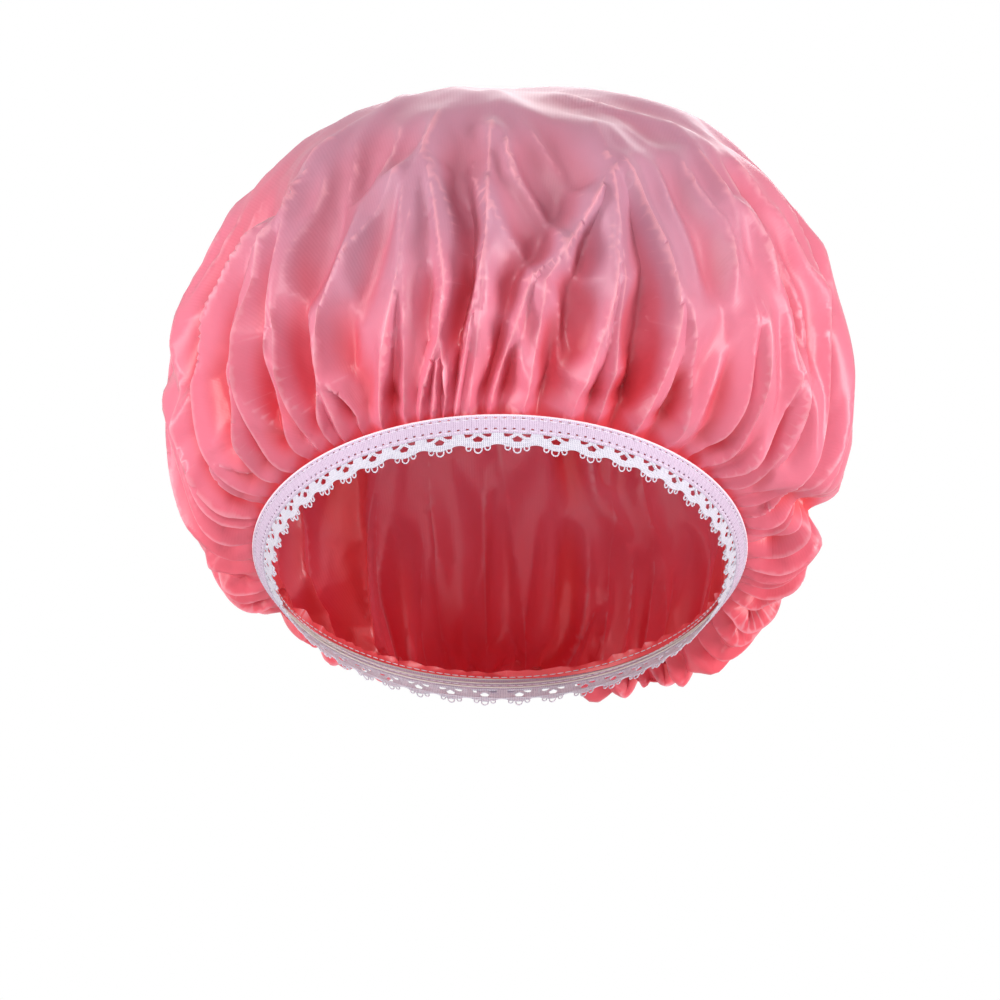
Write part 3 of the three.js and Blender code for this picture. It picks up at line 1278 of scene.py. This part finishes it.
@dataclass
class ElasticTape(TrimPiece):
    """The knitted elastic tape: ribs across it, a row of eyelets along each edge and a lap at the back."""

    width: float = 0.00475
    thickness: float = 0.0005
    eyelets: int = 206
    rib_height: float = 0.00016
    lap_eyelets: int = 6
    out: float = -0.0001
    lap_length: float = 0.014
    lap_out: float = 0.00095
    lap_flat: float = 0.36
    lap_bend: float = 0.14
    lap_dip: float = 0.00035
    columns: tuple[float, ...] = (0.0, 0.18, 0.33, 0.67, 0.82, 1.0)
    column_ribs: tuple[float, ...] = (0.0, 1.0, 0.25, 0.25, 1.0, 0.0)
    rows: tuple[float, ...] = (0.0, 0.045, 0.08, 0.20, 0.26, 0.38, 0.50, 0.61, 0.715, 0.835, 0.90, 0.96, 1.0)
    row_ribs: tuple[float, ...] = (0.9, 1.1, 0.2, 0.2, 0.6, 0.9, 1.0, 0.9, 0.2, 0.2, 0.6, 0.7, 0.5)
    eyelet_rows: tuple[int, int] = (2, 8)
    eyelet_column: int = 2

    def _strip(self, count: int, length: float, out: float) -> Piece:
        """Makes a flat strip of the tape.

        Args:
            count: How many eyelets it has in a row.
            length: How long it is.
            out: How far out its inner face lies.

        Returns:
            The flat strip, with its middle at the front.
        """
        across, down = len(self.columns) - 1, len(self.rows) - 1
        bpy.ops.object.select_all(action="DESELECT")
        bpy.ops.mesh.primitive_grid_add(x_subdivisions=across, y_subdivisions=down, size=1)
        strip = bpy.context.object
        eyelets = []
        for face in strip.data.polygons:
            column = int((face.center.x + 0.5) * across)
            row = int((0.5 - face.center.y) * down)
            if column == self.eyelet_column and row in self.eyelet_rows:
                eyelets.append(face.index)
        unit = coordinates(strip)
        i = np.rint((unit[:, 0] + 0.5) * across).astype(int)
        j = np.rint((0.5 - unit[:, 1]) * down).astype(int)
        pitch = length / count
        rib = np.array(self.column_ribs)[i] * np.array(self.row_ribs)[j]
        rib = np.where(j == 1, self.row_ribs[1], rib)
        place_points(strip, np.stack([
            np.array(self.columns)[i] * pitch - length / 2,
            -np.array(self.rows)[j] * self.width,
            out + self.rib_height * rib,
        ], 1))
        remove_faces(strip, eyelets)
        thicken(strip, self.thickness, 1.0)
        repeat(strip, count, (pitch, 0, 0), True)
        return strip

    def build(self) -> Piece:
        """Builds the tape.

        Returns:
            The tape.
        """
        tape = self._strip(self.eyelets, self.opening.round_length(), self.out)
        self.lay_round(tape)
        return self.name(tape, "knitted_tape")

    def build_lap(self) -> Piece:
        """Builds the tape's end, which lies over its start at the back.

        Returns:
            The tape's end.
        """
        lap = self._strip(self.lap_eyelets, self.lap_length, self.lap_out)
        points = coordinates(lap)
        past = np.abs(points[:, 0]) - self.lap_length * self.lap_flat
        points[:, 2] -= self.lap_dip * np.clip(past / (self.lap_length * self.lap_bend), 0, 1) ** 2
        points[:, 0] += self.opening.round_length() / 2
        place_points(lap, points)
        self.lay_round(lap, closed=False)
        return self.name(lap, "tape_end")


@dataclass
class RubberThread(TrimPiece):
    """One of the rubber threads behind the tape."""

    number: int
    spacing: float = 0.0015
    radius: float = 0.00027
    out: float = -0.00032
    sides: int = 8
    steps: int = 240

    def build(self) -> Piece:
        """Builds the thread.

        Returns:
            The thread.
        """
        step = self.opening.round_length() / self.steps
        down = TAPE_MIDDLE + (self.number - 2) * self.spacing
        bpy.ops.object.select_all(action="DESELECT")
        bpy.ops.mesh.primitive_cylinder_add(
            vertices=self.sides, radius=self.radius, depth=step, end_fill_type="NOTHING",
            rotation=(0, math.pi / 2, 0), location=(step / 2, -down, self.out),
        )
        thread = bpy.context.object
        bpy.ops.object.transform_apply()
        repeat(thread, self.steps, (step, 0, 0), True)
        self.lay_round(thread)
        return self.name(thread, f"rubber_rib_{self.number}")


@dataclass
class SeamThread(TrimPiece):
    """One row of stitches on one face of the trim."""

    label: str
    down: float
    out: float
    stitches: int = 200
    share_covered: float = 0.86
    radius: float = 0.00014

    def build(self) -> Piece:
        """Builds the row of stitches.

        Returns:
            The row.
        """
        pitch = self.opening.round_length() / self.stitches
        place = (pitch / 2, -self.down, self.out)
        stitch = self.stitch(self.radius, self.share_covered * pitch, 0, place)
        repeat(stitch, self.stitches, (pitch, 0, 0), True)
        self.lay_round(stitch, closed=False)
        return self.name(stitch, f"{self.label}_stitches")


@dataclass
class LapTack(TrimPiece):
    """A bar of close stitches that holds the tape's end."""

    side: int
    from_middle: float = 0.0057
    out: float = 0.00162
    stitches: int = 9
    stitch_pitch: float = 0.00039
    stitch_length: float = 0.0016
    slant: float = 0.18
    radius: float = 0.00017

    def build(self) -> Piece:
        """Builds the bar of stitches.

        Returns:
            The bar.
        """
        tack = self.stitch(self.radius, self.stitch_length, self.slant, (0, 0, 0))
        repeat(tack, self.stitches, (0, -self.stitch_pitch, 0), False)
        top = -TAPE_MIDDLE + self.stitch_pitch * (self.stitches - 1) / 2
        middle = self.opening.round_length() / 2 + self.side * self.from_middle
        place_points(tack, coordinates(tack) + np.array([middle, top, self.out]))
        self.lay_round(tack, closed=False)
        return self.name(tack, "end_tack_left" if self.side < 0 else "end_tack_right")


@dataclass
class LaceEdging(TrimPiece):
    """The openwork below the tape: windows, crossing yarns and picot loops between close-knitted blocks.

    The first group's place, the thickness of plate and yarn and the place out are in metres. All else is in
    millimetres, from the middle of a group of windows. A picot has its middle and its radius.
    """

    repeats: int = 48
    first_group: float = 0.00476
    plate: float = 0.00042
    yarn: float = 0.00040
    out: float = 0.0001
    overlap: float = 0.06
    top_level: float = -4.6
    side_level: float = -7.66
    edge: tuple[Pair, ...] = (
        (0.0, -8.75), (1.2, -8.7), (1.7, -8.45), (2.2, -8.3),
        (2.7, -8.4), (3.3, -8.2), (3.8, -7.9), (4.5, -7.72),
    )
    cord_from: int = 4
    cord_out: float = 0.05
    upper_window: tuple[Pair, ...] = (
        (0.75, -4.86), (3.95, -4.74), (3.62, -5.92), (2.45, -5.92), (1.5, -5.5),
    )
    lower_window: tuple[Pair, ...] = ((0.0, -5.35), (1.7, -6.3), (0.95, -7.25))
    crossing: tuple[Pair, ...] = ((-0.95, -4.72), (0.0, -5.15), (1.3, -5.8), (2.5, -6.55))
    crossing_out: float = 0.14
    crossing_apart: float = 0.06
    picots: tuple[Point, ...] = ((0.0, -9.12, 1.08), (2.62, -8.72, 0.74), (-2.62, -8.72, 0.74))
    picot_points: int = 12

    def _half(self) -> float:
        """Returns half of one repeat, in millimetres."""
        return self.opening.round_length() / self.repeats * TO_MILLIMETRES / 2

    def _plate(self) -> Piece:
        """Makes one repeat's close-knitted ground, with its windows.

        Returns:
            The ground's curve.
        """
        plate = flat_curve("lace_ground", self.plate, True)
        half = self._half() + self.overlap
        right = [*self.edge, (half, self.side_level), (half, self.top_level)]
        left = [(-x, y) for x, y in reversed(right) if x > 0]
        add_spline(plate, [(x, y, 0) for x, y in right + left], True, False)
        for side in (1, -1):
            add_spline(plate, [(side * x, y, 0) for x, y in self.upper_window], True, False)
        roof, *foot = self.lower_window
        house = [roof, *foot, *((-x, y) for x, y in reversed(foot))]
        add_spline(plate, [(x, y, 0) for x, y in house], True, False)
        return plate

    def _yarns(self) -> Piece:
        """Makes one repeat's yarns: the crossing, the picots and the cord along the lower edge.

        Returns:
            The yarns' curve.
        """
        yarns = flat_curve("lace_yarns", self.yarn, False)
        cord = (*self.edge[self.cord_from:], (self._half(), self.side_level))
        for side in (1, -1):
            out = self.crossing_out + self.crossing_apart * side
            add_spline(yarns, [(side * x, y, out) for x, y in self.crossing], False, True)
            add_spline(yarns, [(side * x, y, self.cord_out) for x, y in cord], False, True)
        for x, y, radius in self.picots:
            turn = [2 * math.pi * i / self.picot_points for i in range(self.picot_points)]
            ring = [(x + radius * math.sin(a), y + radius * math.cos(a), 0.0) for a in turn]
            add_spline(yarns, ring, True, True)
        return yarns

    def build(self) -> Piece:
        """Builds the lace.

        Returns:
            The lace.
        """
        pitch = self.opening.round_length() / self.repeats
        ground, yarns = self._plate(), self._yarns()
        make_active(ground)
        yarns.select_set(True)
        bpy.ops.object.convert(target="MESH")
        bpy.ops.object.join()
        lace = bpy.context.object
        start = self.first_group - pitch * round(self.repeats / 2)
        place_points(lace, coordinates(lace) + np.array([start, 0, self.out]))
        repeat(lace, self.repeats, (pitch, 0, 0), False)
        self.lay_round(lace, closed=False)
        return self.name(lace, "openwork_lace")


@dataclass(frozen=True)
class FilmFinish:
    """Half-clear satin film with a fine rib, whose colour holds painted light: sheen and shade on the crown,
    a glow low down, shade and glow in the folds and highlights on the ridges.
    """

    pink: Colour = (0.87, 0.225, 0.325, 1)
    # Painted glow of light shining through the film, low down.
    low_glow: Colour = (0.93, 0.11, 0.155, 1)
    # Painted sheen and shade on the crown.
    crown_sheen: Colour = (0.60, 0.29, 0.40, 1)
    # Painted shade in the folds.
    deep: Colour = (0.70, 0.045, 0.06, 1)
    # Painted highlight on the ridges.
    ridge_highlight: Colour = (0.96, 0.46, 0.54, 1)
    glow: Colour = (0.95, 0.10, 0.13, 1)
    # Painted glow in the low folds near the seam, which also paints shade on the hem behind the tape.
    low_fold_glow: Colour = (0.95, 0.10, 0.11, 1)
    glow_share: float = 0.21
    cloud_scale: float = 30.0
    crown_level: Pair = (0.040, 0.096)
    crown_cloud: float = 0.045
    crown_half: Pair = (0.045, 0.088)
    edge_cloud: float = 0.03
    coral_level: float = 0.055
    coral_fade: Pair = (0.02, 0.09)
    ember_level: float = 0.062
    ember_fade: Pair = (0.012, 0.052)
    fold_from: Pair = (0.25, 1.0)
    fold_share: float = 0.85
    crown_fold: float = 0.7
    ridge_from: Pair = (0.62, 1.0)
    ridge_share: float = 0.6
    rib_pitch: float = 0.0010
    grain_scale: float = 900.0
    bump_strength: float = 0.13
    bump_height: float = 0.00012
    roughness: float = 0.30
    crown_roughness: float = 0.14
    cloud_roughness: float = 0.12
    refraction: float = 1.48

    def _colour(self, g: Graph, z: Value, cloud: Value, crown: Value, middle: Value) -> Value:
        """Mixes the film's colours, with the painted light and shade.

        Args:
            g: The material's nodes.
            z: The height of a place.
            cloud: An uneven pattern about 0.
            crown: 1 on the crown and 0 below it.
            middle: 1 in the middle of the crown and 0 at its edges.

        Returns:
            The colour.
        """
        depth, ridge, _ = g.map("fold")
        # Painted glow: the film turns coral low down, where light shines through it.
        lower = g.ramp(*self.coral_fade, self.coral_level - z + cloud * self.edge_cloud)
        colour = g.blend(lower, self.pink, self.low_glow)
        # Painted sheen and shade: the middle of the crown turns a greyer mauve.
        colour = g.blend(crown * middle, colour, self.crown_sheen)
        # Painted shade and glow in the folds: a darker red in the valleys, and a glowing red in the low
        # valleys near the seam.
        valley = g.blend(g.ramp(*self.ember_fade, self.ember_level - z), self.deep, self.low_fold_glow)
        fold_shade_share = g.ramp(*self.fold_from, depth) * (1 - crown * self.crown_fold) * self.fold_share
        colour = g.blend(fold_shade_share, colour, valley)
        # Painted highlights: a paler colour along the ridges.
        return g.blend(g.ramp(*self.ridge_from, ridge) * self.ridge_share, colour, self.ridge_highlight)

    def material(self) -> bpy.types.Material:
        """Makes the film's material.

        Returns:
            The material.
        """
        g = Graph("film_satin")
        vector, x, _, z = g.place()
        cloud = g.noise(vector, self.cloud_scale) - 0.5
        crown = g.ramp(*self.crown_level, z + cloud * self.crown_cloud)
        out = g.calculate("ABSOLUTE", x)
        middle = 1 - g.ramp(*self.crown_half, out + cloud * self.edge_cloud)
        across = g.map("cut")[0]
        rib = g.calculate("SINE", across * (2 * math.pi / self.rib_pitch))
        grain = g.noise(vector, self.grain_scale, 2.0)
        gloss = g.node("ShaderNodeBsdfPrincipled", None, {
            "Base Color": self._colour(g, z, cloud, crown, middle),
            "Roughness": self.roughness + crown * self.crown_roughness + cloud * self.cloud_roughness,
            "IOR": self.refraction,
            "Normal": g.bump(rib * 0.5 + grain * 0.5, self.bump_strength, self.bump_height),
        })
        glow = g.node("ShaderNodeBsdfTranslucent", None, {"Color": self.glow})
        return g.finish(g.mix(self.glow_share, gloss, glow))


@dataclass(frozen=True)
class YarnFinish:
    """Matt knitted yarn: rows of small loops, with painted shade in the gaps between them."""

    name: str
    slot: str
    colour: Colour
    # Painted shade in the gaps between the loops.
    shade: Colour
    loop_along: float = 0.00062
    loop_up: float = 0.00048
    depth: float = 0.0001
    roughness: float = 0.75
    selvedge: Colour = (0.86, 0.72, 0.80, 1)
    selvedge_from: Pair = (-0.00032, -0.00022)
    fuzz_scale: float = 1500.0
    fuzz_roughness: float = 0.2
    wobble_scale: float = 160.0
    wobble: float = 5.0
    shade_to: Pair = (0.2, 0.8)
    bump_strength: float = 0.7
    sheen: float = 0.25
    sheen_roughness: float = 0.4

    def material(self) -> bpy.types.Material:
        """Makes the yarn's material.

        Returns:
            The material.
        """
        g = Graph(self.name)
        vector = g.place()[0]
        along, up, _ = g.map("knit")
        fuzz = g.noise(vector, self.fuzz_scale, 2.0)
        wobble = (g.noise(vector, self.wobble_scale, 2.0) - 0.5) * self.wobble
        column, course = (
            g.calculate("SINE", place * (2 * math.pi / pitch) + wobble)
            for place, pitch in ((along, self.loop_along), (up, self.loop_up))
        )
        loops = column * 0.25 + column * course * 0.25 + 0.5
        height = loops * 0.75 + fuzz * 0.5
        # Painted shade: the gaps between the loops take the darker shade colour.
        colour = g.blend(g.ramp(*self.shade_to, height), self.shade, self.colour)
        colour = g.blend(g.ramp(*self.selvedge_from, up), colour, self.selvedge)
        return g.finish(g.node("ShaderNodeBsdfPrincipled", None, {
            "Base Color": colour,
            "Roughness": self.roughness + (fuzz - 0.5) * self.fuzz_roughness,
            "Normal": g.bump(height, self.bump_strength, self.depth),
            "Sheen Weight": self.sheen,
            "Sheen Roughness": self.sheen_roughness,
        }))

    def dress(self, piece: Piece, *nodes: str) -> None:
        """Gives a piece this finish and hides the imported parts that it stands for.

        Args:
            piece: The piece.
            nodes: The nodes' names.
        """
        piece.data.materials.append(self.material())
        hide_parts(*nodes)


@dataclass(frozen=True)
class Trim:
    """The whole elastic lace trim."""

    opening: Opening
    tape: YarnFinish = YarnFinish("tape_knit", "tape", (0.66, 0.53, 0.67, 1), (0.44, 0.30, 0.44, 1))
    lace: YarnFinish = YarnFinish(
        "lace_knit", "lace", (0.71, 0.68, 0.75, 1), (0.40, 0.36, 0.48, 1), 0.00055, 0.00055, 0.00012,
    )
    rubber: YarnFinish = YarnFinish(
        "rubber_cover", "rubber", (0.80, 0.76, 0.70, 1), (0.60, 0.55, 0.50, 1), 0.0004, 0.002, 0.00005, 0.6,
    )
    thread: YarnFinish = YarnFinish(
        "sewing_thread", "thread", (0.84, 0.78, 0.86, 1), (0.68, 0.58, 0.70, 1), 0.0003, 0.0009, 0.00004, 0.6,
    )

    seam_levels: tuple[tuple[str, float], ...] = (("upper", 0.0011), ("lower", 0.0042))
    seam_faces: tuple[tuple[str, float], ...] = (("needle", 0.00048), ("bobbin", -0.00162))

    def build(self) -> None:
        """Builds, dresses and places every piece of the trim."""
        tape = ElasticTape(self.opening)
        stretched = [(tape.build(), self.tape, "elastic_tape")]
        stretched.append((LaceEdging(self.opening).build(), self.lace, "lace_edging"))
        for number in (1, 2, 3):
            thread = RubberThread(self.opening, number).build()
            stretched.append((thread, self.rubber, f"rubber_thread_{number}"))
        for level, down in self.seam_levels:
            for face, out in self.seam_faces:
                row = SeamThread(self.opening, f"{level}_{face}", down, out).build()
                stretched.append((row, self.thread, f"{level}_{face}_thread"))
        held = [(tape.build_lap(), self.tape, "tape_lap")]
        for side, word in ((-1, "left"), (1, "right")):
            held.append((LapTack(self.opening, side).build(), self.thread, f"lap_tack_{word}"))
        for piece, finish, node in stretched + held:
            finish.dress(piece, node)
            log.info("%s stands for %s", piece.name, node)
        for piece, _, _ in stretched:
            stretches(piece)
        for piece, _, _ in held:
            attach(piece, "nape")


@dataclass(frozen=True)
class SoftBox:
    """A soft box lamp that shines at the cap.

    Attributes:
        name: The lamp's name.
        place: Where it stands.
        size: Its width and height.
        power: Its power in watts.
    """

    name: str
    place: Point
    size: Pair
    power: float

    def build(self, target: Point) -> None:
        """Builds the lamp.

        Args:
            target: The place that it shines at.
        """
        lamp = bpy.data.lights.new(self.name, "AREA")
        lamp.shape = "RECTANGLE"
        lamp.size, lamp.size_y = self.size
        lamp.energy = self.power
        made = add_object(self.name, lamp)
        made.location = self.place
        x, y, z = np.array(target) - np.array(self.place)
        tilt = math.pi / 2 + math.atan2(z, math.hypot(x, y))
        made.rotation_euler = (tilt, 0, math.atan2(y, x) - math.pi / 2)


@dataclass(frozen=True)
class Studio:
    """A pale floor that fades into white, soft lamps and the camera."""

    floor_level: float = -0.30
    floor_radius: float = 0.9
    floor_fade: Pair = (0.55, 0.98)
    floor_colour: Colour = (0.86, 0.86, 0.86, 1)
    white: Colour = (1, 1, 1, 1)
    fill: float = 0.24
    lamps: tuple[SoftBox, ...] = (
        SoftBox("key_box", (-0.30, -1.25, 0.60), (0.6, 0.45), 8.5),
        SoftBox("left_box", (-1.2, -0.55, 0.20), (0.45, 0.9), 11.0),
        SoftBox("right_box", (1.2, -0.55, 0.05), (0.45, 0.9), 14.5),
        SoftBox("back_box", (0.2, 1.2, 0.7), (0.8, 0.8), 8.0),
    )
    lamp_target: Point = (0.0, 0.0, 0.04)
    distance: float = 1.3
    level: float = 0.0157
    view_width: float = 0.285
    sensor: float = 36.0

    def build_floor(self) -> None:
        """Builds the floor."""
        bpy.ops.object.select_all(action="DESELECT")
        bpy.ops.mesh.primitive_circle_add(
            vertices=96, radius=self.floor_radius, fill_type="NGON", location=(0, 0, self.floor_level),
        )
        bpy.ops.object.transform_apply()
        floor = bpy.context.object
        floor.name = "floor"
        g = Graph("pale_floor")
        away = g.value("ShaderNodeVectorMath", {"operation": "LENGTH"}, {0: g.place()[0]}, "Value")
        edge = g.ramp(*(self.floor_radius * part for part in self.floor_fade), away)
        matt = g.node("ShaderNodeBsdfDiffuse", None, {"Color": self.floor_colour})
        white = g.node("ShaderNodeEmission", None, {"Color": self.white, "Strength": 1.0})
        floor.data.materials.append(g.finish(g.mix(edge * g.seen(), matt, white)))

    def build_world(self) -> None:
        """Sets the white surroundings, which light the cap softly."""
        g = Graph("white_surroundings", Surface.WORLD)
        soft, white = (
            g.node("ShaderNodeBackground", None, {"Color": self.white, "Strength": strength})
            for strength in (self.fill, 1.0)
        )
        bpy.context.scene.world = g.finish(g.mix(g.seen(), soft, white))

    def build_camera(self) -> None:
        """Builds the camera, level and in front of the cap."""
        lens = bpy.data.cameras.new("camera")
        lens.sensor_width = self.sensor
        lens.lens = self.sensor * self.distance / self.view_width
        camera = add_object("camera", lens)
        camera.location = (0, -self.distance, self.level)
        camera.rotation_euler = (math.pi / 2, 0, 0)
        bpy.context.scene.camera = camera

    def build(self) -> None:
        """Builds the floor, the surroundings, the lamps and the camera."""
        self.build_floor()
        self.build_world()
        for lamp in self.lamps:
            lamp.build(self.lamp_target)
        self.build_camera()
        bpy.context.scene.view_settings.view_transform = "Standard"


def main() -> None:
    """Builds the cap and its surroundings."""
    logging.basicConfig(level=logging.INFO, format="%(name)s: %(message)s")
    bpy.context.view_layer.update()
    opening = Opening()
    Studio().build()
    film = Film(opening)
    sheet = film.build()
    film.dress(sheet, FilmFinish())
    log.info("%s stands for cap_film", sheet.name)
    Trim(opening).build()


if __name__ == "__main__":
    main()
